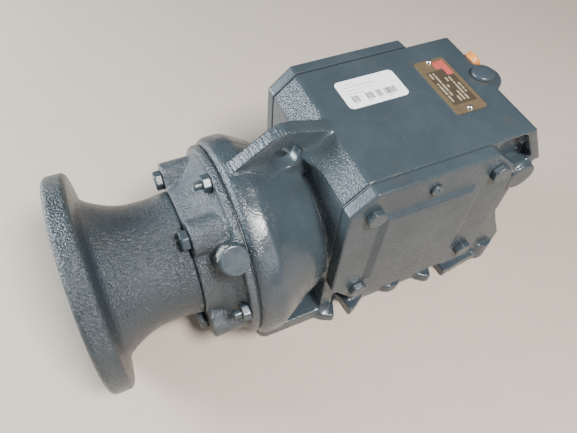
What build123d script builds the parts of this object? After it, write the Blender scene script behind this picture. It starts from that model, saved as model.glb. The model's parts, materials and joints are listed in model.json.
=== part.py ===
from build123d import *
from math import acos, atan, atan2, cos, degrees, hypot, pi, radians, sin, sqrt, tan
import os

os.makedirs("parts", exist_ok=True)

# ------------------------------------------------------------------ driving sizes, mm
# Working axes: X along the input shaft, 0 at the motor flange face; Y across; Z up from the input axis.
BASE_H = 100.0          # input axis above the foot plane
OUT_H = 112.0           # output axis above the foot plane
END_R = 14.0            # free end of the output shaft, which takes a hub and its own key
END_FROM = 86.8
FLANGE_R, FLANGE_T, PILOT_R, PILOT_D = 100.0, 17.0, 65.0, 5.0
FLANGE_PCD, FLANGE_HOLE_R = 165.0, 5.0
NECK_END = 97.0         # adapter to ring joint
RING_HUB_END, RING_END = 129.0, 136.4
SPIGOT_R = 62.0
BELL_X = 137.0          # front face of the bell
BOX_X0, BOX_X1 = 214.2, 431.0
BODY_Y = 69.3
TOP_Z, BASE_Z = 115.3, -BASE_H
COVER_Y0, COVER_Y1 = 70.1, 82.3
COVER_PTS = [(214.2, -22), (214.2, 95.7), (236.3, 115.3), (352, 115.3), (380, 90), (384, 72), (386, -48),
             (376, -58), (243, -58)]
OPEN_X, OPEN_Z, OPEN_R = 303.0, 30.0, 74.0
COVER_BOLTS = [(237.5, 89), (360, 92), (242.5, -32), (368, -32)]
RING_BOLT_R, RING_BOLT_ANGLES, RING_LUG_R = 70.0, (50, -26, -137, 152), 15.0
STUD_R, STUD_ANGLES = 84.0, (2, 94, 182, -84)
SLOT_X, SLOT_Y, SLOT_R = (238.5, 361.5), 66.0, 5.5
LUG_T, LUG_EYE = 14.0, (194.0, 98.0, 13.0)
PORT_X, PORT_TURN, PORT_TOP = 123.3, 44.0, 98.5     # oil port boss on the input ring
FLOOR_Z = -87.0         # top of the foot flange
FOOT = [(205, 40), (205, 60), (208, 70), (215, 76), (223, 80), (229, 82), (247, 82), (253, 79.5), (259, 76),
        (267, 71), (276, 67.5), (290, 67), (294, 71.5), (300, 74.5), (309, 74.5), (316, 71), (322, 66),
        (328, 64), (333, 66.5), (338, 73), (344, 77.5), (350, 80), (372, 80), (380, 79), (400, 76),
        (424, 74), (433, 72), (441, 66), (441, 40)]
CAP_X, CAP_Y = 398.0, 6.0
DRAIN_Z = -64.0
# the vent cap stands square to the sloped face at the top of the far end
SLOPE = degrees(atan2(BOX_X1 - 402.0, TOP_Z - 68.0))
VENT_AT = Location((406.5, 33.5, 107.95), (0, 90 - SLOPE, 0))

M1, Z1, Z2 = 1.5, 15, 33            # input pinion and its wheel
M2, Z3, Z4 = 2.0, 15, 33            # bevel pair
M3, Z5, Z6 = 2.0, 14, 46            # final pair
PA = radians(20)
LAY_Z = M1 * (Z1 + Z2) / 2          # intermediate shaft height above the input axis
CROSS_X = 262.0
OUT_Z = OUT_H - BASE_H
A3 = M3 * (Z5 + Z6) / 2
OUT_X = CROSS_X + sqrt(A3 ** 2 - (LAY_Z - OUT_Z) ** 2)
FIT = 0.04              # radial clearance of every round fit

# the stored part stands on its feet, with the output axis above the origin
HOME = Location((-OUT_X, 0, BASE_H))


def save(name, *shapes):
    """Export one node, moved from the working axes to the stored ones."""
    solids = [s for shape in shapes for s in shape.solids()]
    body = solids[0] if len(solids) == 1 else Compound(children=solids)
    export_step(HOME * body, f"parts/{name}.step")


def turn_x(pts, y=0.0, z=0.0):
    face = make_face(Polyline(*[(x, 0, r) for x, r in pts], close=True))
    return Pos(0, y, z) * revolve(face, axis=Axis.X)


def turn_y(pts, x=0.0, z=0.0):
    face = make_face(Polyline(*[(0, y, r) for y, r in pts], close=True))
    return Pos(x, 0, z) * revolve(face, axis=Axis.Y)


def rod_x(x0, x1, r, y=0.0, z=0.0):
    return Pos((x0 + x1) / 2, y, z) * Rot(0, 90, 0) * Cylinder(r, x1 - x0)


def rod_y(y0, y1, r, x=0.0, z=0.0):
    return Pos(x, (y0 + y1) / 2, z) * Rot(90, 0, 0) * Cylinder(r, y1 - y0)


def rod_z(z0, z1, r, x=0.0, y=0.0):
    return Pos(x, y, (z0 + z1) / 2) * Cylinder(r, z1 - z0)


def tube_x(x0, x1, ro, ri, y=0.0, z=0.0):
    return turn_x([(x0, ri), (x0, ro), (x1, ro), (x1, ri)], y, z)


def tube_y(y0, y1, ro, ri, x=0.0, z=0.0):
    return turn_y([(y0, ri), (y0, ro), (y1, ro), (y1, ri)], x, z)


def block(x0, x1, y0, y1, z0, z1):
    return Pos((x0 + x1) / 2, (y0 + y1) / 2, (z0 + z1) / 2) * Box(x1 - x0, y1 - y0, z1 - z0)


def side_plate(pts, y0, y1, round_r=0.0):
    """Prism with an outline in X and Z, running from y0 to y1."""
    face = make_face(Polyline(*[(x, y0, z) for x, z in pts], close=True))
    solid = extrude(face, amount=y1 - y0, dir=(0, 1, 0))
    if round_r:
        solid = fillet(solid.edges().filter_by(Axis.Y), round_r)
    return solid


def floor_plate(pts, z0, z1):
    face = make_face(Polyline(*[(x, y, z0) for x, y in pts], close=True))
    return extrude(face, amount=z1 - z0, dir=(0, 0, 1))


def ring_xy(radius, angle):
    """Y and Z of a point on a circle about the input axis, angle from +Z towards +Y."""
    a = radians(angle)
    return radius * sin(a), radius * cos(a)


def mirror_y(shape):
    return mirror(shape, about=Plane.XZ)


def hexagon_x(x0, x1, flats, y, z, turn=0.0):
    prism = extrude(RegularPolygon(flats / sqrt(3), 6), amount=x1 - x0)
    return Pos(x0, y, z) * Rot(0, 90, 0) * Rot(0, 0, turn) * prism


def hexagon_y(y0, y1, flats, x, z, turn=0.0):
    prism = extrude(RegularPolygon(flats / sqrt(3), 6), amount=y1 - y0)
    return Pos(x, y0, z) * Rot(-90, 0, 0) * Rot(0, 0, turn) * prism


# ------------------------------------------------------------------ teeth
def tooth_outline(m, z, thin, addendum=0.85, dedendum=1.15):
    """Outline of a spur section as (radius, angle); the first tooth is centred on angle 0."""
    rp, ra, rr = m * z / 2, m * z / 2 + addendum * m, m * z / 2 - dedendum * m
    rb = rp * cos(PA)
    inv = lambda a: tan(a) - a
    half = pi / (2 * z) - thin / (2 * rp) + inv(PA)
    start = max(rb, rr)
    steps = [start + (ra - start) * k / 4 for k in range(5)]
    radii = ([rr] if rr < rb - 1e-6 else []) + steps
    side = [(r, half - (inv(acos(min(1.0, rb / r))) if r > rb else 0.0)) for r in radii]
    pts = []
    for i in range(z):
        c = 2 * pi * i / z
        pts += [(r, c - a) for r, a in side] + [(r, c + a) for r, a in reversed(side)]
    return pts


def spur(m, z, width, thin=0.14):
    """Spur gear along +Z from 0, first tooth towards +X."""
    pts = [(r * cos(a), r * sin(a)) for r, a in tooth_outline(m, z, thin)]
    return extrude(make_face(Polyline(*pts, close=True)), amount=width)


def bevel(m, z, cone, width, blank, thin=0.14):
    """Straight bevel gear with its apex at 0 and its teeth along +Z, first tooth towards +X."""
    rp, re = m * z / 2, m * z / 2 / sin(cone)
    virtual = z / cos(cone)
    rv = m * virtual / 2
    zp = re * cos(cone)
    inv = lambda a: tan(a) - a
    rb, ra, rr = rv * cos(PA), rv + 0.85 * m, rv - 1.15 * m
    half = pi / (2 * virtual) - thin / (2 * rv) + inv(PA)
    start = max(rb, rr)
    radii = ([rr] if rr < rb - 1e-6 else []) + [start + (ra - start) * k / 4 for k in range(5)]
    side = []
    for r in radii:
        a = half - (inv(acos(min(1.0, rb / r))) if r > rb else 0.0)
        h = r - rv
        side.append(((rp + h * cos(cone)) / (zp - h * sin(cone)), a / cos(cone)))
    far, near = zp + 1.2 * m, (re - width) * cos(cone) - 1.2 * m

    def section(height):
        pts = []
        for i in range(z):
            c = 2 * pi * i / z
            seq = [(s, c - a) for s, a in side] + [(s, c + a) for s, a in reversed(side)]
            pts += [(s * height * cos(a), s * height * sin(a), height) for s, a in seq]
        return make_face(Polyline(*pts, close=True))

    teeth = loft([section(near), section(far)], ruled=True)
    outline = make_face(Polyline(*[(r, 0, h) for h, r in blank(rp, re, zp)], close=True))
    return teeth & revolve(outline, axis=Axis.Z)


CONE3, CONE4 = atan2(Z3, Z4), atan2(Z4, Z3)


def pinion_blank(width):
    def pts(rp, re, zp):
        c, s, h = cos(CONE3), sin(CONE3), 3.2
        inner = re - width
        return [((re * c) + h * s, rp - h * c), (re * c - h * s, rp + h * c),
                (inner * c - h * s, inner * s + h * c), (inner * c + h * s, inner * s - h * c)]
    return pts


def wheel_blank(width):
    def pts(rp, re, zp):
        c, s, h = cos(CONE4), sin(CONE4), 3.2
        inner = re - width
        return [((re * c) + h * s, rp - h * c), (re * c - h * s, rp + h * c),
                (inner * c - h * s, inner * s + h * c), (inner * c + h * s, inner * s - h * c)]
    return pts


# ------------------------------------------------------------------ housing
def bell_outer():
    """Bell turned about the input axis: round rim band, cone, rolled shoulder."""
    with BuildPart() as part:
        with BuildSketch(Plane.XZ):
            with BuildLine():
                Line((BELL_X, 0), (BELL_X, 92.0))
                Spline((BELL_X, 92.0), (140.5, 96.0), (148.5, 97.4), (157, 97.4), tangents=[(0.6, 1), (1, 0)])
                Polyline((157, 97.4), (160.5, 96.2), (188, 80.5), (199, 75.0))
                Spline((199, 75.0), (206.5, 71.2), (211.5, 66.5), (213.6, 61.0), tangents=[(2, -1), (0.2, -1)])
                Polyline((213.6, 61.0), (220, 61.0), (220, 0), (BELL_X, 0))
            make_face()
        revolve(axis=Axis.X)
    return part.part


def gusset(sign):
    """Triangular web between the lifting lug and the sloped shoulder."""
    def face(y, drop, out):
        pts = [(237, TOP_Z - 1), (214.6 - out, 97 - drop), (214.6, 86), (237, 100)]
        return make_face(Polyline(*[(x, sign * y, z) for x, z in pts], close=True))
    return loft([face(6.0, 3.0, 9.0), face(22.0, 1.0, 3.0), face(38.0, 1.5, -0.6)], ruled=True)


def outer_body():
    box_pts = [(BOX_X0, BASE_Z), (BOX_X1, BASE_Z), (BOX_X1, 68), (402, TOP_Z), (236.3, TOP_Z), (BOX_X0, 95.7)]
    body = side_plate(box_pts, -BODY_Y, BODY_Y, 2.5)
    body += bell_outer()
    # base under the bell, with a raised centre rib
    base = block(147, 230, -70, 70, BASE_Z, -83)
    base = fillet(base.edges().filter_by(Axis.Z), 6)
    body += base + block(140, 218, -11, 11, BASE_Z + 0.5, -70)
    # lifting lug and its gussets
    lug = side_plate([(144, 80), (144.5, 97.5), (181, 123), (192, 127), (204, 125.5), (238, TOP_Z),
                      (238, 90), (205, 65)], -LUG_T / 2, LUG_T / 2)
    body += fillet(lug.edges().filter_by(Axis.Y).group_by(Axis.Z)[-1], 6)
    body += gusset(1) + gusset(-1)
    # round boss of the filler plug at the end of the top face
    body += rod_z(62, TOP_Z, 19.0, CAP_X, CAP_Y)
    return body


def foot_flange(sign):
    """Cast foot along one side, with lobes around the bolt slots."""
    return floor_plate([(x, sign * y) for x, y in FOOT], BASE_Z, FLOOR_Z)


def slot_cut(x, sign):
    """Open slot for a foot bolt, flared outwards, and the room for its head."""
    y = sign * SLOT_Y
    flare = [(x - SLOT_R, y), (x + SLOT_R, y), (x + 8, sign * 92), (x - 16, sign * 92)]
    cut = rod_z(BASE_Z - 1, FLOOR_Z + 1, SLOT_R, x, y) + floor_plate(flare, BASE_Z - 1, FLOOR_Z + 1)
    y0, y1 = sorted((y, sign * 95))
    return cut + rod_z(FLOOR_Z, -61, 11.0, x, y) + block(x - 11, x + 11, y0, y1, FLOOR_Z, -61)


def end_details(body, sign):
    """Pocket, notch, lug and corner web beside the side cover at the far end."""
    def at(y0, y1):
        return sorted((sign * y0, sign * y1))
    pocket = side_plate([(367, 71), (418.5, 71), (412, 82), (395.5, 108.5), (391, 111.3), (367, 111.3)],
                        *at(57.5, 75), 4.0)
    body -= pocket
    body -= side_plate([(415, 66), (446, 66), (446, -62), (441, -62), (415, -11)], *at(60, 75))
    body += rod_y(*at(56, 75), 15.5, 411, 53)
    body += side_plate([(404, 2), (415.5, -12), (441, -62), (441, -88), (404, -88)], *at(60, 70))
    return body + rod_z(BASE_Z, -72, 13.5, 425, sign * 63)


def make_housing():
    body = outer_body()
    for sign in (1, -1):
        body = end_details(body, sign)
        body += foot_flange(sign)
    # the bell's chamber, with bosses left for the ring's bolts and studs
    chamber = turn_x([(143, 0), (143, 82), (156, 83), (186, 76), (196, 70), (196, 0)])
    for r, angles in ((RING_BOLT_R, RING_BOLT_ANGLES), (STUD_R, STUD_ANGLES)):
        for a in angles:
            y, z = ring_xy(r, a)
            chamber -= rod_x(140, 170, 9.0, y, z)
    body -= chamber
    body -= rod_x(BELL_X - 1, 144, SPIGOT_R)
    # gear chamber, side openings, shaft seats
    upper = [(224, -56), (384, -56), (384, 92), (374, 104), (241, 104), (224, 89)]
    body -= side_plate(upper, -59, 59)
    body -= block(224, 384, -47, 47, -86, -50)
    body -= rod_y(-90, 90, OPEN_R, OPEN_X, OPEN_Z)
    body -= rod_x(192, 230, 17.5 + FIT, 0, LAY_Z)
    body -= rod_x(193, 205.2, 14.0 + FIT)
    # light-weight recess in the end wall
    recess = block(398, 440, -44, 44, -80, 48)
    body -= fillet(recess.edges().filter_by(Axis.X), 12)
    # fastener and plug holes
    for x, z in COVER_BOLTS:
        body -= rod_y(-90, -48, 5.0, x, z) + rod_y(48, 90, 5.0, x, z)
    for r, angles, hole, deep in ((RING_BOLT_R, RING_BOLT_ANGLES, 5.0, 164), (STUD_R, STUD_ANGLES, 4.0, 161)):
        for a in angles:
            body -= rod_x(BELL_X - 1, deep, hole, *ring_xy(r, a))
    body -= rod_z(82, 120, 8.0, CAP_X, CAP_Y) + rod_x(378, 398, 6.0, CAP_Y, 90)
    body -= VENT_AT * rod_z(-26, 3, 6.0)
    body -= rod_x(380, 400, 7.0, 0, DRAIN_Z)
    # lifting eye, foot slots with head clearance, tapped holes in the base
    body -= rod_y(-20, 20, LUG_EYE[2], LUG_EYE[0], LUG_EYE[1])
    for sign in (1, -1):
        for x in SLOT_X:
            body -= slot_cut(x, sign)
            body -= rod_z(BASE_Z - 1, -89, 5.0, x, sign * 40)
    # rivet holes of the plate
    for y in (39.5, -26.5):
        body -= rod_z(111, 116, 1.6, 361, y)
    return body


def make_cover(side):
    """Side cover; side is -1 for the near blank cover and +1 for the one the output shaft leaves through."""
    plate = side_plate(COVER_PTS, COVER_Y0, COVER_Y1)
    plate = fillet(plate.edges().filter_by(Axis.Y), 3.0)
    plate = chamfer(plate.faces().sort_by(Axis.Y)[-1].edges(), 1.2)
    plate += rod_y(66.0, COVER_Y0 + 1, OPEN_R - FIT, OPEN_X, OPEN_Z)
    plate += rod_y(49.0, 72.0, 36.5, OUT_X, OUT_Z) + rod_y(49.5, 72.0, 22.5, CROSS_X, LAY_Z)
    plate -= rod_y(48.0, 66.0, 31.0 + FIT, OUT_X, OUT_Z)
    plate -= rod_y(48.0, 62.0, 17.5 + FIT, CROSS_X, LAY_Z)
    plate -= rod_y(61.0, 67.5, 12.0, CROSS_X, LAY_Z)
    plate -= rod_y(64.0, 70.0, 24.0, OUT_X, OUT_Z)
    for x, z in COVER_BOLTS:
        plate -= rod_y(60, 90, 5.5, x, z)
    if side < 0:
        lip = [(249, -19), (249, 81.5), (338, 81.5), (346, 74), (350, -24)]
        low, high = (side_plate([(303 + (x - 303) * k, 32 + (z - 32) * k) for x, z in lip], y, y + 0.01)
                     for k, y in ((1.06, COVER_Y1 - 0.2), (0.94, COVER_Y1 + 3.6)))
        plate += loft([low.faces().sort_by(Axis.Y)[0], high.faces().sort_by(Axis.Y)[-1]], ruled=True)
        plate -= rod_y(76, 90, 4.5, 294, 97)
    else:
        plate += rod_y(80, 86.0, 38, OUT_X, OUT_Z)
        plate -= rod_y(60, 100, 17.5, OUT_X, OUT_Z)
        plate -= rod_y(77.0, 100, 23.5 + FIT, OUT_X, OUT_Z)
    return plate if side > 0 else mirror_y(plate)


def make_adapter():
    pts = [(0, PILOT_R), (0, 97), (3, FLANGE_R), (FLANGE_T, FLANGE_R), (19.5, 97), (22.5, 76), (25, 72)]
    for k in range(1, 12):
        t = k / 11
        pts.append((25 + 38 * t, 72 - 14.5 * (1 - (1 - t) ** 1.8)))
    pts += [(80, 57.2), (88, 58.4), (NECK_END, 59.2), (NECK_END, 31.0), (85, 31.0), (85, 50.5), (60, 50.5),
            (30, 58), (PILOT_D, 60), (PILOT_D, PILOT_R)]
    body = turn_x(pts)
    for k in range(4):
        y, z = ring_xy(FLANGE_PCD / 2, 45 + 90 * k)
        body -= rod_x(-1, 15.0, FLANGE_HOLE_R, y, z)
        y, z = ring_xy(42.0, 20 + 90 * k)
        body -= rod_x(84, 98, 4.3, y, z)
    return body


def make_ring():
    seal, seat = 23.5 + FIT, 26.0 + FIT
    pts = [(NECK_END, seal), (NECK_END, 60.5), (98, 61.5), (110, 65.5), (121, 74), (RING_HUB_END, 84.5),
           (RING_HUB_END, 92), (135, 93), (RING_END, 92.5), (RING_END, SPIGOT_R - FIT), (141, SPIGOT_R - FIT),
           (141, 53), (125, 47), (125, seat), (106, seat), (106, seal)]
    body = turn_x(pts)
    for a in RING_BOLT_ANGLES:
        y, z = ring_xy(RING_BOLT_R, a)
        foot = Rot(-a, 0, 0) * block(NECK_END + 0.6, RING_HUB_END + 1, -RING_LUG_R, RING_LUG_R, 50, RING_BOLT_R)
        body += rod_x(NECK_END + 0.6, RING_HUB_END + 1, RING_LUG_R, y, z) + foot
    # the lowest lug is a wide foot
    body += rod_x(NECK_END + 0.6, RING_HUB_END + 1, RING_LUG_R, *ring_xy(RING_BOLT_R, -112))
    body += Rot(124.5, 0, 0) * block(NECK_END + 0.6, RING_HUB_END + 1, -16, 16, 50, 83.3)
    # radial oil port, and the groove of the bearing's circlip
    body += Rot(PORT_TURN, 0, 0) * rod_z(55, PORT_TOP, 13.0, PORT_X, 0)
    body -= Rot(PORT_TURN, 0, 0) * (rod_z(90, PORT_TOP + 1, 8.0, PORT_X, 0) + rod_z(15, 91, 2.5, PORT_X + 0.5, 0))
    body -= tube_x(121.0, 122.5, 26.7, 20.0)
    for a in RING_BOLT_ANGLES:
        body -= rod_x(90, 140, 5.3, *ring_xy(RING_BOLT_R, a))
    for a in STUD_ANGLES:
        body -= rod_x(120, 140, 4.3, *ring_xy(STUD_R, a))
        body -= rod_x(108, RING_HUB_END, 8.6, *ring_xy(STUD_R, a))
    for k in range(4):
        body -= rod_x(90, 113, 4.0, *ring_xy(42.0, 20 + 90 * k))
    return body


# ------------------------------------------------------------------ standard pieces
def hex_bolt_x(x_seat, length, r, flats, head, y, z, turn=0.0):
    """Hex bolt along +X whose head lies left of x_seat."""
    top = hexagon_x(x_seat - head, x_seat, flats, y, z, turn)
    top &= turn_x([(x_seat - head, 0), (x_seat - head, flats * 0.49), (x_seat - head + 1.6, flats * 0.585),
                   (x_seat, flats * 0.585), (x_seat, 0)], y, z)
    return top + rod_x(x_seat - 1, x_seat + length, r, y, z)


def hex_bolt_y(seat, length, r, flats, head, x, z, turn=0.0):
    """Hex bolt along -Y whose head lies beyond y = seat."""
    top = hexagon_y(seat, seat + head, flats, x, z, turn)
    top &= turn_y([(seat, 0), (seat, flats * 0.585), (seat + head - 1.6, flats * 0.585),
                   (seat + head, flats * 0.49), (seat + head, 0)], x, z)
    return top + rod_y(seat - length, seat + 1, r, x, z)


def bearing_x(x0, width, rb, ro, z=0.0, balls=9):
    """Ball bearing on X: outer ring, and inner ring with its caged balls."""
    mid, t = (rb + ro) / 2, (ro - rb) / 2
    ball = 0.52 * t
    xm = x0 + width / 2
    outer = tube_x(x0, x0 + width, ro, mid + 0.34 * t, 0, z)
    outer -= Pos(xm, 0, z) * Rot(0, 90, 0) * Torus(mid, ball + 0.08)
    inner = tube_x(x0, x0 + width, mid - 0.34 * t, rb + FIT, 0, z)
    inner += tube_x(xm - 0.8, xm + 0.8, mid + 0.1 * t, mid - 0.36 * t, 0, z)
    for k in range(balls):
        a = 2 * pi * k / balls
        inner += Pos(xm, mid * sin(a), z + mid * cos(a)) * Sphere(ball)
    return outer, inner


def bearing_y(y0, width, rb, ro, x, z, balls=9):
    outer, inner = bearing_x(y0, width, rb, ro, 0.0, balls)
    turn = Location((x, 0, z)) * Rot(0, 0, 90)
    return turn * outer, turn * inner


# ------------------------------------------------------------------ make and save the casing
save("housing", make_housing())
save("near_cover", make_cover(-1))
save("far_cover", make_cover(1))
save("motor_adapter", make_adapter())
save("input_ring", make_ring())

gasket = side_plate(COVER_PTS, BODY_Y, COVER_Y0)
gasket -= rod_y(60, 80, OPEN_R + 0.5, OPEN_X, OPEN_Z)
for gx, gz in COVER_BOLTS:
    gasket -= rod_y(60, 80, 5.6, gx, gz)
save("far_gasket", gasket)
save("near_gasket", mirror_y(gasket))
ring_gasket = tube_x(RING_END, BELL_X, 91.5, SPIGOT_R + 0.6)
for r, angles, hole in ((RING_BOLT_R, RING_BOLT_ANGLES, 5.4), (STUD_R, STUD_ANGLES, 4.4)):
    for a in angles:
        ring_gasket -= rod_x(130, 140, hole, *ring_xy(r, a))
save("ring_gasket", ring_gasket)

far_bolts = [hex_bolt_y(COVER_Y1, 30, 4.9, 16.0, 6.4, x, z, 7 + 23 * i)
             for i, (x, z) in enumerate(COVER_BOLTS)]
save("far_cover_bolts", *far_bolts)
save("near_cover_bolts", *[mirror_y(b) for b in far_bolts])
save("ring_bolts", *[hex_bolt_x(NECK_END + 0.6, 62, 4.9, 16.0, 7.5, *ring_xy(RING_BOLT_R, a), turn=12 + 17 * i)
                     for i, a in enumerate(RING_BOLT_ANGLES)])
studs, nuts = [], []
for i, a in enumerate(STUD_ANGLES):
    y, z = ring_xy(STUD_R, a)
    studs.append(rod_x(114.5, 159, 3.9, y, z))
    nuts.append(hexagon_x(121.5, RING_HUB_END, 14.0, y, z, 9 + 13 * i) - rod_x(110, 140, 4.0, y, z))
save("ring_studs", *studs)
save("ring_nuts", *nuts)
adapter_screws = []
for k in range(4):
    y, z = ring_xy(42.0, 20 + 90 * k)
    screw = rod_x(77.0, 85.0, 6.5, y, z) + rod_x(84, 110, 3.9, y, z)
    adapter_screws.append(screw - hexagon_x(76.5, 81.0, 6.0, y, z))
save("adapter_screws", *adapter_screws)

# plugs, plate, label
filler = turn_x([(0, 0), (0, 10.4), (0.8, 11.0), (3.2, 11.0), (4.2, 10.2), (4.9, 8.5), (5.4, 5.0), (5.6, 0)])
filler = Pos(CAP_X, CAP_Y, TOP_Z + 1.0) * Rot(0, -90, 0) * filler + rod_z(101, TOP_Z + 2, 7.9, CAP_X, CAP_Y)
save("filler_plug", filler)
save("filler_washer", rod_z(TOP_Z, TOP_Z + 1.0, 11.5, CAP_X, CAP_Y) - rod_z(110, 120, 8.1, CAP_X, CAP_Y))
port = rod_z(PORT_TOP, PORT_TOP + 2.0, 12.2, PORT_X, 0) + rod_z(92, PORT_TOP + 1, 7.9, PORT_X, 0)
save("port_plug", Rot(PORT_TURN, 0, 0) * port)
drain = rod_x(398.0, 401.5, 11.0, 0, DRAIN_Z) + rod_x(386, 399, 6.9, 0, DRAIN_Z)
drain -= hexagon_x(399.4, 403, 8.0, 0, DRAIN_Z)
save("drain_plug", drain)
vent = rod_z(0.0, 7.5, 9.0)
vent = chamfer(vent.edges().group_by(Axis.Z)[-1], 1.0) + rod_z(-12, 0.5, 5.9)
save("vent_cap", VENT_AT * vent)
save("cover_screw", mirror_y(rod_y(77, 83, 4.4, 294, 97) + rod_y(COVER_Y1, 85.3, 5.6, 294, 97)
                             - hexagon_y(83.6, 87, 4.0, 294, 97)))
plate = fillet(block(345, 378, -30, 43, TOP_Z, TOP_Z + 0.8).edges().filter_by(Axis.Z), 3)
for y in (39.5, -26.5):
    plate -= rod_z(110, 120, 1.7, 361, y)
save("rating_plate", plate)
save("plate_rivets", *[rod_z(111.5, TOP_Z + 1, 1.5, 361, y) + Pos(361, y, TOP_Z + 0.8)
                       * (Sphere(2.9) & Pos(0, 0, 1.5) * Box(8, 8, 3)) for y in (39.5, -26.5)])
save("paper_label", fillet(block(261, 321.5, 9, 45, TOP_Z, TOP_Z + 0.3).edges().filter_by(Axis.Z), 5))

# ------------------------------------------------------------------ bearings and seals
b_in1 = bearing_x(106.0, 15, 12.5, 26.0)
b_in2 = bearing_x(196.5, 8, 6.0, 14.0, balls=7)
save("input_bearing_outers", b_in1[0], b_in2[0])
save("input_bearing_inners", b_in1[1], b_in2[1])
b_ly1 = bearing_x(197.0, 11, 7.5, 17.5, LAY_Z, balls=8)
b_ly2 = bearing_x(211.0, 11, 7.5, 17.5, LAY_Z, balls=8)
save("layshaft_bearing_outers", b_ly1[0], b_ly2[0])
save("layshaft_bearing_inners", b_ly1[1], b_ly2[1])
b_cr1 = bearing_y(-61.5, 11, 7.5, 17.5, CROSS_X, LAY_Z, 8)
b_cr2 = bearing_y(50.5, 11, 7.5, 17.5, CROSS_X, LAY_Z, 8)
save("cross_bearing_outers", b_cr1[0], b_cr2[0])
save("cross_bearing_inners", b_cr1[1], b_cr2[1])
b_ou1 = bearing_y(-65.8, 16, 15.0, 31.0, OUT_X, OUT_Z, 10)
b_ou2 = bearing_y(49.8, 16, 15.0, 31.0, OUT_X, OUT_Z, 10)
save("output_bearing_outers", b_ou1[0], b_ou2[0])
save("output_bearing_inners", b_ou1[1], b_ou2[1])
save("input_seal", turn_x([(98.5, 12.5 + FIT), (98.5, 23.5), (105.5, 23.5), (105.5, 20), (101, 20),
                           (101, 14.5), (103.5, 12.5 + FIT)]))
save("output_seal", turn_y([(78.0, 20), (78.0, 23.5), (85.0, 23.5), (85.0, 15.0 + FIT), (81.5, 15.0 + FIT),
                            (82.5, 20)], OUT_X, OUT_Z))
save("layshaft_spacer", tube_x(208.1, 210.9, 17.3, 13.5, 0, LAY_Z))
save("input_circlip", tube_x(121.1, 122.4, 26.6, 22.5) - block(121, 123, -3, 3, -30, -20))

# ------------------------------------------------------------------ rotating pieces
shaft_in = turn_x([(54, 0), (54, 11), (55, 12), (97, 12), (97, 12.5), (121.2, 12.5), (121.2, 14.5), (126, 14.5),
                   (126, 9.2), (196, 9.2), (196, 6.0), (205, 6.0), (205, 0)])
pinion1 = Pos(148, 0, 0) * Rot(0, 90, 0) * Rot(0, 0, 180) * spur(M1, Z1, 16)
save("input_shaft", shaft_in + pinion1)


def sector(x0, x1, ri, ro, centre, half):
    """Part of a ring between two radii, 2 x half degrees wide."""
    span = [radians(centre + half * t) for t in (-1, 0, 1)]
    pts = [(0, 0)] + [(ro * 1.4 * sin(a), ro * 1.4 * cos(a)) for a in span]
    face = make_face(Polyline(*[(x0, y, z) for y, z in pts], close=True))
    return tube_x(x0, x1, ro, ri) & extrude(face, amount=x1 - x0, dir=(1, 0, 0))


motor_half = tube_x(8.0, 44.0, 27.0, 12.0) - block(6, 46, -4, 4, 8, 15.3)
gear_half = tube_x(56.0, 90.0, 27.0, 12.0 + FIT)
spider = tube_x(45.0, 55.0, 14.2, 12.6)
for k in range(3):
    motor_half += sector(43.5, 53.4, 15, 27, 120 * k, 17)
    gear_half += sector(46.6, 56.5, 15, 27, 60 + 120 * k, 17)
for k in range(6):
    spider += sector(45.0, 55.0, 14, 26.5, 30 + 60 * k, 12.4)
save("coupling_motor_half", motor_half)
save("coupling_gear_half", gear_half)
save("coupling_spider", spider)

lay = turn_x([(141, 0), (141, 7), (142, 7.5), (222.3, 7.5), (222.3, 10.5), (229, 10.5), (234, 8.0), (236.5, 6.0),
              (236.5, 0)], 0, LAY_Z)
bev_pinion = bevel(M2, Z3, CONE3, 10.0, pinion_blank(10.0))
# apex on the cross shaft, teeth towards -X, first tooth towards +Y
bev_pinion = Pos(CROSS_X, 0, LAY_Z) * Rot(0, -90, 0) * Rot(0, 0, 90) * bev_pinion
save("bevel_pinion_shaft", lay + bev_pinion)
wheel1 = Pos(149.5, 0, LAY_Z) * Rot(0, 90, 0) * Rot(0, 0, 180) * spur(M1, Z2, 13)
wheel1 -= rod_x(148, 164, 7.5 + FIT, 0, LAY_Z)
wheel1 -= tube_x(149, 152.5, 20.5, 12, 0, LAY_Z) + tube_x(159.5, 163, 20.5, 12, 0, LAY_Z)
save("first_wheel", wheel1)
save("first_wheel_circlips", tube_x(147.9, 149.3, 10.0, 7.5 + FIT, 0, LAY_Z),
     tube_x(162.7, 164.1, 10.0, 7.5 + FIT, 0, LAY_Z))

cross = turn_y([(-61.5, 0), (-61.5, 7.5), (-50, 7.5), (-50, 9.5), (33, 9.5), (33, 8.5), (50, 8.5), (50, 7.5),
                (61.5, 7.5), (61.5, 0)], CROSS_X, LAY_Z)
aim = degrees(atan2(OUT_Z - LAY_Z, OUT_X - CROSS_X))
pinion3 = Pos(CROSS_X, -16, LAY_Z) * Rot(90, 0, 0) * Rot(0, 0, aim) * spur(M3, Z5, 28)
save("cross_shaft", cross + pinion3)
bev_wheel = bevel(M2, Z4, CONE4, 10.0, wheel_blank(10.0))
bev_wheel = Pos(CROSS_X, 0, LAY_Z) * Rot(-90, 0, 0) * bev_wheel
hub = turn_y([(14.0, 9.5 + FIT), (14.0, 14.5), (17.5, 23.0), (17.5, 29.8), (19.5, 30.6), (24, 29.0), (24, 16),
              (32.5, 16), (32.5, 9.5 + FIT)], CROSS_X, LAY_Z)
save("bevel_wheel", bev_wheel + hub)

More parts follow.
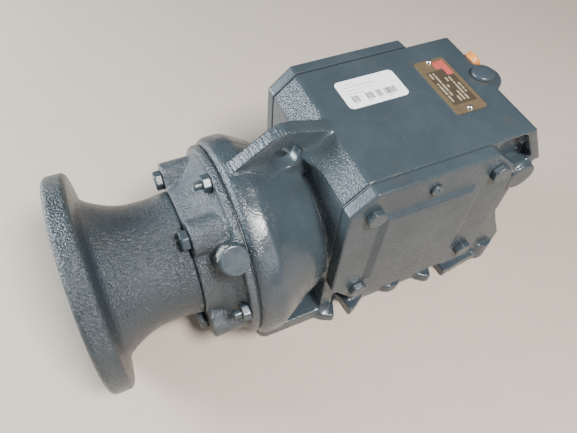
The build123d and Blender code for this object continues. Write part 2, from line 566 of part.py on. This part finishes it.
wheel3 = Pos(OUT_X, -18, OUT_Z) * Rot(90, 0, 0) * Rot(0, 0, aim + 180 + 180 / Z6) * spur(M3, Z6, 24)
wheel3 -= rod_y(-50, 0, 18.0 + FIT, OUT_X, OUT_Z)
wheel3 -= tube_y(-43, -36, 38.5, 25.0, OUT_X, OUT_Z) + tube_y(-24, -17, 38.5, 25.0, OUT_X, OUT_Z)
wheel3 -= block(OUT_X - 5, OUT_X + 5, -50, 0, OUT_Z + 10, OUT_Z + 21.3)
save("output_wheel", wheel3)
out = turn_y([(-65.8, 0), (-65.8, 15), (-49, 15), (-49, 18), (-16, 18), (-16, 21), (20, 21), (20, 18),
              (49, 18), (49, 15), (END_FROM, 15), (END_FROM, END_R), (144, END_R), (145.5, END_R - 1.5),
              (145.5, 0)], OUT_X, OUT_Z)
out -= block(OUT_X - 5, OUT_X + 5, -42, -18, OUT_Z + 13, OUT_Z + 25)
key_seat = block(OUT_X - 4, OUT_X + 4, 92, 140, OUT_Z + END_R - 4, OUT_Z + 20)
key_seat = fillet(key_seat.edges().filter_by(Axis.Z), 3.95)
save("output_shaft", out - key_seat)
save("wheel_key", block(OUT_X - 4.95, OUT_X + 4.95, -41.9, -18.1, OUT_Z + 13.05, OUT_Z + 21.2))
save("output_spacer", tube_y(-48.9, -42.2, 23.0, 18.0 + FIT, OUT_X, OUT_Z))
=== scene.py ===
"""Looks of the industrial gearbox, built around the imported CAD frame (metres, row frame)."""

import json
import math
import random

import bmesh
import bpy
import numpy as np
from mathutils import Matrix, Vector


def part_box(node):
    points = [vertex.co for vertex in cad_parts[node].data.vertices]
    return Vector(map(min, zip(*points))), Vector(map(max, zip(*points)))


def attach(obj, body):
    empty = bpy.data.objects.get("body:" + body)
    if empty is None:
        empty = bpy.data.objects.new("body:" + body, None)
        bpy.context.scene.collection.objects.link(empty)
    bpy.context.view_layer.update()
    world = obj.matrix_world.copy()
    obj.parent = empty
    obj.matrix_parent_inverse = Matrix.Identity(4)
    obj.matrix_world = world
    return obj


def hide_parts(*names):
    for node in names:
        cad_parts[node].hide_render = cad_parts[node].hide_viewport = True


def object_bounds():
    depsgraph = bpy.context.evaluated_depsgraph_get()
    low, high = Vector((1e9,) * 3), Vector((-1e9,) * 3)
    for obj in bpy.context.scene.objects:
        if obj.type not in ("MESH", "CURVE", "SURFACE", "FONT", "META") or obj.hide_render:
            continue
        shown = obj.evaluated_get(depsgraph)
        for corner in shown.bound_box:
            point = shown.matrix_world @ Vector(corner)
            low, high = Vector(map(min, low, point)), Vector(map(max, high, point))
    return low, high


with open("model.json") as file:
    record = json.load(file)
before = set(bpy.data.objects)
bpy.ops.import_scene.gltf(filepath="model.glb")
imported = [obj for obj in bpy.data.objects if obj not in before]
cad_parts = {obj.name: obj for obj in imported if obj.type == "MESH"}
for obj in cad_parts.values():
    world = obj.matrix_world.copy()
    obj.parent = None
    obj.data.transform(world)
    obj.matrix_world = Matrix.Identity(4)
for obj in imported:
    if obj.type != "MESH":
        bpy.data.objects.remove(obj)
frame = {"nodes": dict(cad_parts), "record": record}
cad_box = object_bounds()
NODES = frame["nodes"]
RECORD = frame["record"]
SLOT_OF = {s["node"]: s["material_slot"] for s in RECORD["subparts"]}
BODY_OF = {n: b for b, ns in RECORD["behaviour"]["bodies"].items() for n in ns}
MM = 0.001
ORIGIN = Vector((-0.316991, 0, 0.1))      # where the input axis meets the motor flange face


def at(x, y, z):
    """Point given in mm from the flange face on the input axis, as a row-frame point in metres."""
    return ORIGIN + Vector((x, y, z)) * MM


BOX_FACE, CHAMFER_END = 211, 215          # where the gear case's front chamfers begin, along X
RIM_FROM, RIM_TO = 139, 152               # rim band of the bell, along X
LUG_TOP = at(168, 0, 112)
CHIPPED_BOSS = at(112, -56, 76)
# Spot on the bell rim where cream dots are painted highlight glints, not chips.
PAINTED_GLINT_RIM = at(138, -50, 80)


# ------------------------------------------------------------------ materials
class Tree:
    """Small helper to wire a node tree."""

    def __init__(self, name):
        self.mat = bpy.data.materials.new(name)
        self.mat.use_nodes = True
        self.nt = self.mat.node_tree
        self.shader = self.nt.nodes["Principled BSDF"]
        source = self.node("ShaderNodeTexCoord")
        self.coords, self.facing = source.outputs["Object"], source.outputs["Normal"]

    def node(self, kind, **props):
        n = self.nt.nodes.new(kind)
        for k, v in props.items():
            setattr(n, k, v)
        return n

    def link(self, a, b):
        self.nt.links.new(a, b)

    def noise(self, scale, detail=4.0, rough=0.55, stretch=None):
        n = self.node("ShaderNodeTexNoise")
        n.inputs["Scale"].default_value = scale
        n.inputs["Detail"].default_value = detail
        n.inputs["Roughness"].default_value = rough
        src = self.coords
        if stretch:
            m = self.node("ShaderNodeMapping")
            m.inputs["Scale"].default_value = stretch
            self.link(src, m.inputs["Vector"])
            src = m.outputs["Vector"]
        self.link(src, n.inputs["Vector"])
        return n.outputs["Fac"]

    def spots(self, scale):
        n = self.node("ShaderNodeTexVoronoi", feature="F1")
        n.inputs["Scale"].default_value = scale
        self.link(self.coords, n.inputs["Vector"])
        return n.outputs["Distance"]

    def ramp(self, fac, stops):
        n = self.node("ShaderNodeValToRGB")
        el = n.color_ramp.elements
        while len(el) < len(stops):
            el.new(0.5)
        for e, (pos, col) in zip(el, stops):
            e.position = pos
            e.color = (*col, 1)
        self.link(fac, n.inputs["Fac"])
        return n.outputs["Color"]

    def grey(self, fac, lo, hi, a=0.0, b=1.0):
        n = self.node("ShaderNodeMapRange", interpolation_type="SMOOTHSTEP")
        for k, v in (("From Min", lo), ("From Max", hi), ("To Min", a), ("To Max", b)):
            n.inputs[k].default_value = v
        self.link(fac, n.inputs["Value"])
        return n.outputs["Result"]

    def math(self, op, a, b):
        n = self.node("ShaderNodeMath", operation=op)
        for sock, v in zip(n.inputs, (a, b)):
            if isinstance(v, (int, float)):
                sock.default_value = v
            else:
                self.link(v, sock)
        return n.outputs["Value"]

    def mix(self, fac, a, b):
        n = self.node("ShaderNodeMix", data_type="RGBA", blend_type="MIX")
        for key, v in (("Factor", fac), ("A", a), ("B", b)):
            sock = [s for s in n.inputs if s.name == key and s.enabled][0]
            if isinstance(v, (int, float)):
                sock.default_value = v
            elif isinstance(v, tuple):
                sock.default_value = (*v, 1)
            else:
                self.link(v, sock)
        return [s for s in n.outputs if s.enabled][0]

    def near(self, point, radius, soft):
        """1 within radius of a row-frame point, fading over soft."""
        n = self.node("ShaderNodeVectorMath", operation="DISTANCE")
        self.link(self.coords, n.inputs[0])
        n.inputs[1].default_value = point
        return self.grey(n.outputs["Value"], radius, radius + soft, 1.0, 0.0)

    def bump(self, height, strength, distance, below=None):
        n = self.node("ShaderNodeBump")
        n.inputs["Strength"].default_value = strength
        n.inputs["Distance"].default_value = distance
        self.link(height, n.inputs["Height"])
        if below is not None:
            self.link(below, n.inputs["Normal"])
        return n.outputs["Normal"]

    def done(self, color, rough, normal, metallic=0.0, spec=0.5):
        s = self.shader.inputs
        for key, v in (("Base Color", color), ("Roughness", rough), ("Normal", normal)):
            self.link(v, s[key])
        s["Metallic"].default_value = metallic
        s["Specular IOR Level"].default_value = spec
        return self.mat


def cast_paint(name, grain=1.0, chips_and_glints=False, case=False, gloss=0.62, smooth=0.20, tone=(1, 1, 1)):
    """Blue-grey enamel over rough cast iron. On the gear case the grain keeps to chamfers, lug and rim."""
    t = Tree(name)
    cloud = t.noise(16, 5, 0.6)
    shades = [(0.031, 0.042, 0.052), (0.040, 0.054, 0.065), (0.052, 0.068, 0.080)]
    shades = [tuple(a * b for a, b in zip(shade, tone)) for shade in shades]
    base = t.ramp(cloud, list(zip((0.28, 0.55, 0.80), shades)))
    dust = t.grey(t.noise(70, 6, 0.7), 0.56, 0.78, 0.0, 0.35)
    base = t.mix(dust, base, (0.088, 0.086, 0.080))
    streak = t.grey(t.noise(26, 4, 0.6, (1, 1, 0.25)), 0.60, 0.78, 0.0, 0.35)
    base = t.mix(streak, base, (0.070, 0.057, 0.045))
    coarse, fine = t.noise(560, 2, 0.5), t.noise(1500, 2, 0.5)
    height = t.math("ADD", coarse, t.math("MULTIPLY", fine, 0.30))
    if case:
        xyz = t.node("ShaderNodeSeparateXYZ")
        t.link(t.coords, xyz.inputs[0])
        facing = t.node("ShaderNodeSeparateXYZ")
        t.link(t.facing, facing.inputs[0])
        x = xyz.outputs["X"]
        chamfer = t.math("MULTIPLY", t.grey(x, at(BOX_FACE, 0, 0).x, at(CHAMFER_END, 0, 0).x),
                         t.grey(facing.outputs["X"], -0.75, -0.45, 1.0, 0.0))
        chamfer = t.math("MULTIPLY", chamfer, t.grey(facing.outputs["Z"], 0.3, 0.6))
        upward = t.grey(facing.outputs["Z"], 0.55, 0.75)
        lug = t.math("MULTIPLY", t.near(LUG_TOP, 0.030, 0.010), upward)
        rim = t.grey(x, at(RIM_FROM, 0, 0).x, at(RIM_TO, 0, 0).x, 0.8, 0.0)
        zone = t.math("MAXIMUM", t.math("MAXIMUM", chamfer, t.math("MULTIPLY", lug, 0.4)), rim)
        amount = t.math("ADD", t.math("MULTIPLY", zone, 0.55), 0.10)
        height = t.math("MULTIPLY", height, amount)
    normal = t.bump(height, 1.0, 0.0017 * grain)
    normal = t.bump(t.noise(60, 3, 0.5), 0.35, 0.0020 * min(grain, 1.0), normal)
    rough = t.grey(t.noise(90, 4, 0.6), 0.3, 0.75, smooth, smooth + 0.13)
    if case:
        comb = t.noise(420, 3, 0.6, (1.0, 0.10, 1.0))
        normal = t.bump(t.math("MULTIPLY", comb, lug), 0.6, 0.0018, normal)
    if chips_and_glints:
        patch = t.near(CHIPPED_BOSS, 0.006, 0.016)
        chip_and_glint_mask = t.grey(t.math("MULTIPLY", t.noise(170, 5, 0.7), patch), 0.47, 0.50)
        # Painted highlight: cream dots on the rim stand in for glints of light on the cast grain.
        painted_glints = t.grey(t.spots(430), 0.10, 0.16, 1.0, 0.0)
        painted_glints = t.math("MULTIPLY", painted_glints, t.near(PAINTED_GLINT_RIM, 0.018, 0.016))
        chip_and_glint_mask = t.math("MAXIMUM", chip_and_glint_mask, t.math("MULTIPLY", painted_glints, 0.8))
        # Mixes real worn-paint chips round the boss and painted highlight glints on the rim into the
        # colour.
        base = t.mix(chip_and_glint_mask, base, (0.56, 0.53, 0.46))
        rough = t.math("ADD", rough, t.math("MULTIPLY", chip_and_glint_mask, 0.15))
    return t.done(base, rough, normal, spec=gloss)


def steel(name, color, rough=0.32, grain=(1, 1, 1)):
    """Bare metal with turning or grinding marks and a thin film of oil."""
    t = Tree(name)
    n = t.noise(500, 4, 0.6, grain)
    dark = tuple(c * 0.8 for c in color)
    base = t.ramp(n, [(0.3, dark), (0.7, color)])
    oil = t.grey(t.noise(40, 3, 0.5), 0.55, 0.75, 0.0, 0.25)
    base = t.mix(oil, base, tuple(c * 0.55 for c in color))
    r = t.grey(n, 0.2, 0.8, rough - 0.08, rough + 0.1)
    return t.done(base, r, t.bump(n, 0.15, 0.0003), metallic=1.0)


def plain(name, color, rough=0.5, scale=700, depth=0.0002, vary=0.12):
    """Plastic, rubber, paper or print, with a slight variation of colour and gloss."""
    t = Tree(name)
    n = t.noise(scale, 4, 0.6)
    dark = tuple(c * (1 - vary) for c in color)
    light = tuple(min(1, c * (1 + vary)) for c in color)
    base = t.ramp(n, [(0.3, dark), (0.7, light)])
    r = t.grey(t.noise(120, 3, 0.6), 0.3, 0.7, rough - 0.07, rough + 0.07)
    return t.done(base, r, t.bump(n, 0.25, depth))


def brass_plate():
    """Dull lacquered plate, tarnished in patches."""
    t = Tree("brass_plate")
    n = t.noise(300, 5, 0.65, (1, 8, 1))
    base = t.ramp(n, [(0.3, (0.17, 0.122, 0.068)), (0.55, (0.235, 0.172, 0.100)),
                      (0.8, (0.29, 0.225, 0.135))])
    tarnish = t.grey(t.noise(70, 5, 0.7), 0.5, 0.72, 0.0, 0.6)
    base = t.mix(tarnish, base, (0.15, 0.125, 0.09))
    return t.done(base, t.grey(n, 0.2, 0.8, 0.34, 0.5), t.bump(n, 0.2, 0.0002), metallic=0.55)


MATS = {
    "cast_paint": cast_paint("cast_paint_cover", 0.10, gloss=0.40, smooth=0.24),
    "painted_fastener": cast_paint("painted_fastener", 0.10),
    "gasket": plain("gasket", (0.034, 0.044, 0.052), 0.5),
    "dark_steel": steel("dark_steel", (0.10, 0.10, 0.11), 0.42),
    "copper_washer": plain("copper_washer", (0.070, 0.066, 0.062), 0.4),
    "orange_plastic": plain("orange_plastic", (0.62, 0.22, 0.035), 0.42, 300, 0.0003),
    "brass_plate": brass_plate(),
    "rivet": steel("rivet", (0.82, 0.82, 0.82), 0.18),
    "white_label": plain("white_label", (0.95, 0.955, 0.97), 0.45, 900, 0.00005, vary=0.03),
    "bearing_steel": steel("bearing_steel", (0.66, 0.66, 0.68), 0.16),
    "seal_rubber": plain("seal_rubber", (0.018, 0.018, 0.020), 0.6),
    "spider_plastic": plain("spider_plastic", (0.42, 0.05, 0.03), 0.5),
    "coupling_aluminium": steel("coupling_aluminium", (0.70, 0.70, 0.72), 0.28, (1, 6, 6)),
    "ground_steel": steel("ground_steel", (0.50, 0.51, 0.53), 0.24, (8, 1, 8)),
    "gear_steel": steel("gear_steel", (0.36, 0.36, 0.38), 0.30),
}
CASE_PAINT = cast_paint("cast_paint_case", 1.0, True, True)
RING_PAINT = cast_paint("cast_paint_ring", 1.0, True, gloss=0.95, smooth=0.15)
# Painted shade: the neck uses the same enamel as the case, darkened to 0.82.
SHADED_NECK_PAINT = cast_paint("cast_paint_neck_shaded", 0.9, gloss=0.60, smooth=0.18, tone=(0.82, 0.82, 0.82))
INK = plain("label_ink", (0.035, 0.035, 0.040), 0.5, 900, 0.00003)
FAINT_INK = plain("label_faint_ink", (0.36, 0.37, 0.39), 0.5, 900, 0.00003)
PLATE_DARK = plain("plate_dark_field", (0.055, 0.040, 0.026), 0.5, 600, 0.00005)
PLATE_LIGHT = plain("plate_light_field", (0.34, 0.28, 0.19), 0.45, 600, 0.00005)
PLATE_RED = plain("plate_red_bar", (0.46, 0.085, 0.065), 0.45, 600, 0.00005)


def give(obj, mat):
    obj.data.materials.clear()
    obj.data.materials.append(mat)


def assign_slots(obj, mat):
    if not obj.material_slots:
        obj.data.materials.append(mat)
    for s in obj.material_slots:
        s.material = mat


for node, obj in NODES.items():
    assign_slots(obj, MATS[SLOT_OF[node]])


# ------------------------------------------------------------------ cast and painted pieces
def vertex_normals(co, quads):
    """Unit normals at the vertices of an all-quad mesh."""
    a, b, c, d = (co[quads[:, k]] for k in range(4))
    n = np.cross(c - a, d - b)
    out = np.zeros_like(co)
    for k in range(4):
        for axis in range(3):
            out[:, axis] += np.bincount(quads[:, k], n[:, axis], len(co))
    return out / np.maximum(np.linalg.norm(out, axis=1, keepdims=True), 1e-12)


def neighbour_mean(co, edges, count):
    """Mean position of each vertex's neighbours; count is how many it has."""
    out = np.empty_like(co)
    for axis in range(3):
        out[:, axis] = (np.bincount(edges[:, 0], co[edges[:, 1], axis], len(co))
                        + np.bincount(edges[:, 1], co[edges[:, 0], axis], len(co))) / count
    return out


def remeshed(node, voxel, soft, fill=0, region=None, name=None, paint=None):
    """A closed copy of a CAD node with its edges rounded, and its inner corners filled as in a casting."""
    tmp = bpy.data.objects.new("tmp_" + node, NODES[node].data.copy())
    bpy.context.scene.collection.objects.link(tmp)
    mod = tmp.modifiers.new("voxels", "REMESH")
    mod.mode, mod.voxel_size, mod.adaptivity = "VOXEL", voxel, 0.0
    graph = bpy.context.evaluated_depsgraph_get()
    mesh = bpy.data.meshes.new_from_object(tmp.evaluated_get(graph))
    bpy.data.objects.remove(tmp)
    count = len(mesh.vertices)
    co = np.empty(count * 3, np.float32)
    mesh.vertices.foreach_get("co", co)
    co = co.reshape(-1, 3).astype(float)
    edges = np.empty(len(mesh.edges) * 2, np.int32)
    mesh.edges.foreach_get("vertices", edges)
    edges = edges.reshape(-1, 2)
    degree = np.maximum(np.bincount(edges.ravel(), minlength=count), 1)
    quads = np.array([p.vertices[:] if len(p.vertices) == 4 else (*p.vertices[:], p.vertices[0])
                      for p in mesh.polygons], np.int32)
    for _ in range(soft):
        co += 0.5 * (neighbour_mean(co, edges, degree) - co)
    if fill:
        weight = region(co)
        for i in range(fill):
            if i % 4 == 0:
                normal = vertex_normals(co, quads)
            rise = np.einsum("ij,ij->i", neighbour_mean(co, edges, degree) - co, normal)
            co += normal * (np.maximum(rise, 0) * 0.6 * weight)[:, None]
        for _ in range(2):
            co += 0.4 * weight[:, None] * (neighbour_mean(co, edges, degree) - co)
    mesh.vertices.foreach_set("co", co.astype(np.float32).ravel())
    mesh.polygons.foreach_set("use_smooth", np.ones(len(mesh.polygons), bool))
    mesh.update()
    obj = bpy.data.objects.new(name or "cast_" + node, mesh)
    bpy.context.scene.collection.objects.link(obj)
    give(obj, paint or MATS[SLOT_OF[node]])
    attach(obj, BODY_OF[node])
    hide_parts(node)


def outside_of_case(co):
    """1 on the outer skin around the bell, lug and feet; 0 in seats, holes and the chambers."""
    x, y, z = ((co - np.array(ORIGIN)) / MM).T
    r = np.hypot(y, z)
    bell = (x > 158) & (x < 214) & (r > 60) & (z > -99)
    outer = (r > 96 - 0.56 * np.clip(x - 158, 0, 60) - 6) & bell
    front = (x > 212) & (x < 240) & ((np.abs(y) > 6) & (z > 84) | (z < -58) | (np.abs(y) > 62))
    return (outer | front).astype(float)


def everywhere(co):
    return np.ones(len(co))


COARSE = 0.0014
FINE = 0.0011
CRISP = 0.0008
remeshed("housing", COARSE, 2, 40, outside_of_case, paint=CASE_PAINT)
remeshed("motor_adapter", COARSE, 2, paint=SHADED_NECK_PAINT)
remeshed("input_ring", FINE, 2, 20, everywhere, paint=RING_PAINT)
remeshed("near_cover", CRISP, 2)
remeshed("far_cover", CRISP, 2)
SMALL = 0.0007
for small in ("near_cover_bolts", "far_cover_bolts", "ring_bolts", "ring_nuts", "ring_studs", "filler_plug",
              "port_plug", "vent_cap", "cover_screw", "drain_plug"):
    remeshed(small, SMALL, 2, name="painted_" + small)


# ------------------------------------------------------------------ print on the label and the plate
PRINT_THICK, PRINT_SUNK = 0.00006, 0.00002


def print_piece(name, patches, top, mats):
    """Thin printed patches (x0, x1, y0, y1, material index) lying on a surface at height top."""
    bm = bmesh.new()
    for x0, x1, y0, y1, index in patches:
        lo, hi = top - PRINT_SUNK, top + PRINT_THICK
        v = [bm.verts.new(p) for p in ((x0, y0, lo), (x1, y0, lo), (x1, y1, lo), (x0, y1, lo),
                                       (x0, y0, hi), (x1, y0, hi), (x1, y1, hi), (x0, y1, hi))]
        for quad in ((0, 3, 2, 1), (4, 5, 6, 7), (0, 1, 5, 4), (1, 2, 6, 5), (2, 3, 7, 6), (3, 0, 4, 7)):
            bm.faces.new([v[i] for i in quad]).material_index = index
    mesh = bpy.data.meshes.new(name)
    bm.to_mesh(mesh)
    bm.free()
    obj = bpy.data.objects.new(name, mesh)
    bpy.context.scene.collection.objects.link(obj)
    for m in mats:
        obj.data.materials.append(m)
    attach(obj, "casing")


def label_patches():
    """Plain dashes and bars: no letters or digits. The label reads along +X, its top towards +Y."""
    rng = random.Random(4)
    lo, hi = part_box("paper_label")
    out = []
    w, h = hi.x - lo.x, hi.y - lo.y
    for row, (start, end, tall) in enumerate(((0.10, 0.30, 0.030), (0.10, 0.62, 0.030), (0.10, 0.55, 0.022),
                                              (0.10, 0.36, 0.022))):
        y = hi.y - h * (0.16 + 0.115 * row)
        x = lo.x + w * start
        while x < lo.x + w * end:
            step = w * rng.uniform(0.010, 0.026)
            out.append((x, x + step * 0.72, y, y + h * tall, 1))
            x += step + (w * 0.014 if rng.random() < 0.18 else 0)
    for start, bars in ((0.12, 7), (0.35, 8), (0.52, 6), (0.66, 12)):
        x = lo.x + w * start
        for _ in range(bars):
            bar = w * rng.choice((0.005, 0.008, 0.012))
            out.append((x, x + bar, lo.y + h * 0.19, lo.y + h * 0.42, 0))
            x += bar + w * rng.choice((0.005, 0.009))
        x = lo.x + w * (start + 0.005)
        for _ in range(bars // 2):
            out.append((x, x + w * 0.012, lo.y + h * 0.115, lo.y + h * 0.145, 1))
            x += w * 0.017
    return out


print_piece("label_print", label_patches(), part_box("paper_label")[1].z, [INK, FAINT_INK])


def plate_patches():
    """Ruled rows along the rating plate, left without any writing. Index 0 dark, 1 light, 2 red."""
    lo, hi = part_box("rating_plate")
    rng = random.Random(9)
    w, h = hi.x - lo.x, hi.y - lo.y
    field = [(lo.x + w * 0.12, lo.x + w * 0.88, lo.y + h * 0.15, hi.y - h * 0.22, 0)]
    marks = []
    for k in range(6):
        x0 = lo.x + w * (0.17 + 0.118 * k)
        y = hi.y - h * (0.25 if k < 3 else 0.37)
        while y > lo.y + h * 0.22:
            cell = min(h * rng.uniform(0.05, 0.20), y - lo.y - h * 0.18)
            if rng.random() < 0.72:
                marks.append((x0, x0 + w * 0.055, y - cell + h * 0.015, y, 1))
            y -= cell
    marks.append((lo.x + w * 0.52, lo.x + w * 0.90, hi.y - h * 0.20, hi.y - h * 0.06, 2))
    marks.append((lo.x + w * 0.70, lo.x + w * 0.90, hi.y - h * 0.34, hi.y - h * 0.20, 2))
    return field, marks


fields, marks = plate_patches()
plate_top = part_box("rating_plate")[1].z
print_piece("plate_fields", fields, plate_top, [PLATE_DARK])
print_piece("plate_marks", marks, plate_top + PRINT_THICK, [PLATE_DARK, PLATE_LIGHT, PLATE_RED])

# ------------------------------------------------------------------ floor, light, camera
floor_mesh = bpy.data.meshes.new("floor")
bm = bmesh.new()
bmesh.ops.create_grid(bm, x_segments=1, y_segments=1, size=9.0)
bm.to_mesh(floor_mesh)
bm.free()
floor = bpy.data.objects.new("floor", floor_mesh)
floor.location = (0, 0, cad_box[0][2] - 0.0006)
bpy.context.scene.collection.objects.link(floor)
give(floor, plain("floor_paint", (0.56, 0.47, 0.385), 0.65, 40, 0.0002, vary=0.02))


def area(name, place, aim, size, power, color):
    light = bpy.data.lights.new(name, "AREA")
    light.shape, light.size, light.size_y = "RECTANGLE", size[0], size[1]
    light.energy, light.color = power, color
    obj = bpy.data.objects.new(name, light)
    obj.location = place
    obj.rotation_euler = (Vector(aim) - Vector(place)).to_track_quat("-Z", "Y").to_euler()
    bpy.context.scene.collection.objects.link(obj)


AIM = Vector((-0.1195, -0.0127, 0.12))
area("key", (-0.02, -0.60, 1.14), AIM, (0.26, 0.26), 29.0, (1.0, 0.99, 0.97))
area("window_left", (-1.34, 0.78, 0.56), AIM, (0.85, 0.6), 58.0, (0.84, 0.94, 1.0))
area("soft_front", (0.30, -1.39, 0.62), AIM, (0.9, 0.35), 6.0, (0.90, 0.96, 1.0))
world = bpy.data.worlds.new("studio")
world.use_nodes = True
world.node_tree.nodes["Background"].inputs["Color"].default_value = (0.84, 0.88, 0.92, 1)
world.node_tree.nodes["Background"].inputs["Strength"].default_value = 0.20
bpy.context.scene.world = world

CAMERA_AT = Vector((-0.26215, -0.27290, 0.52550))
ROLL = math.radians(5.455)
forward = (AIM - CAMERA_AT).normalized()
right = forward.cross(Vector((0, 0, 1))).normalized()
up = right.cross(forward)
right, up = right * math.cos(ROLL) + up * math.sin(ROLL), up * math.cos(ROLL) - right * math.sin(ROLL)
cam_data = bpy.data.cameras.new("camera")
cam_data.sensor_width, cam_data.sensor_fit, cam_data.lens = 36.0, "HORIZONTAL", 32.945
cam_data.clip_start = 0.02
camera = bpy.data.objects.new("camera", cam_data)
rotation = Matrix((right, up, -forward)).transposed().to_4x4()
camera.matrix_world = Matrix.Translation(CAMERA_AT) @ rotation
bpy.context.scene.collection.objects.link(camera)
bpy.context.scene.camera = camera
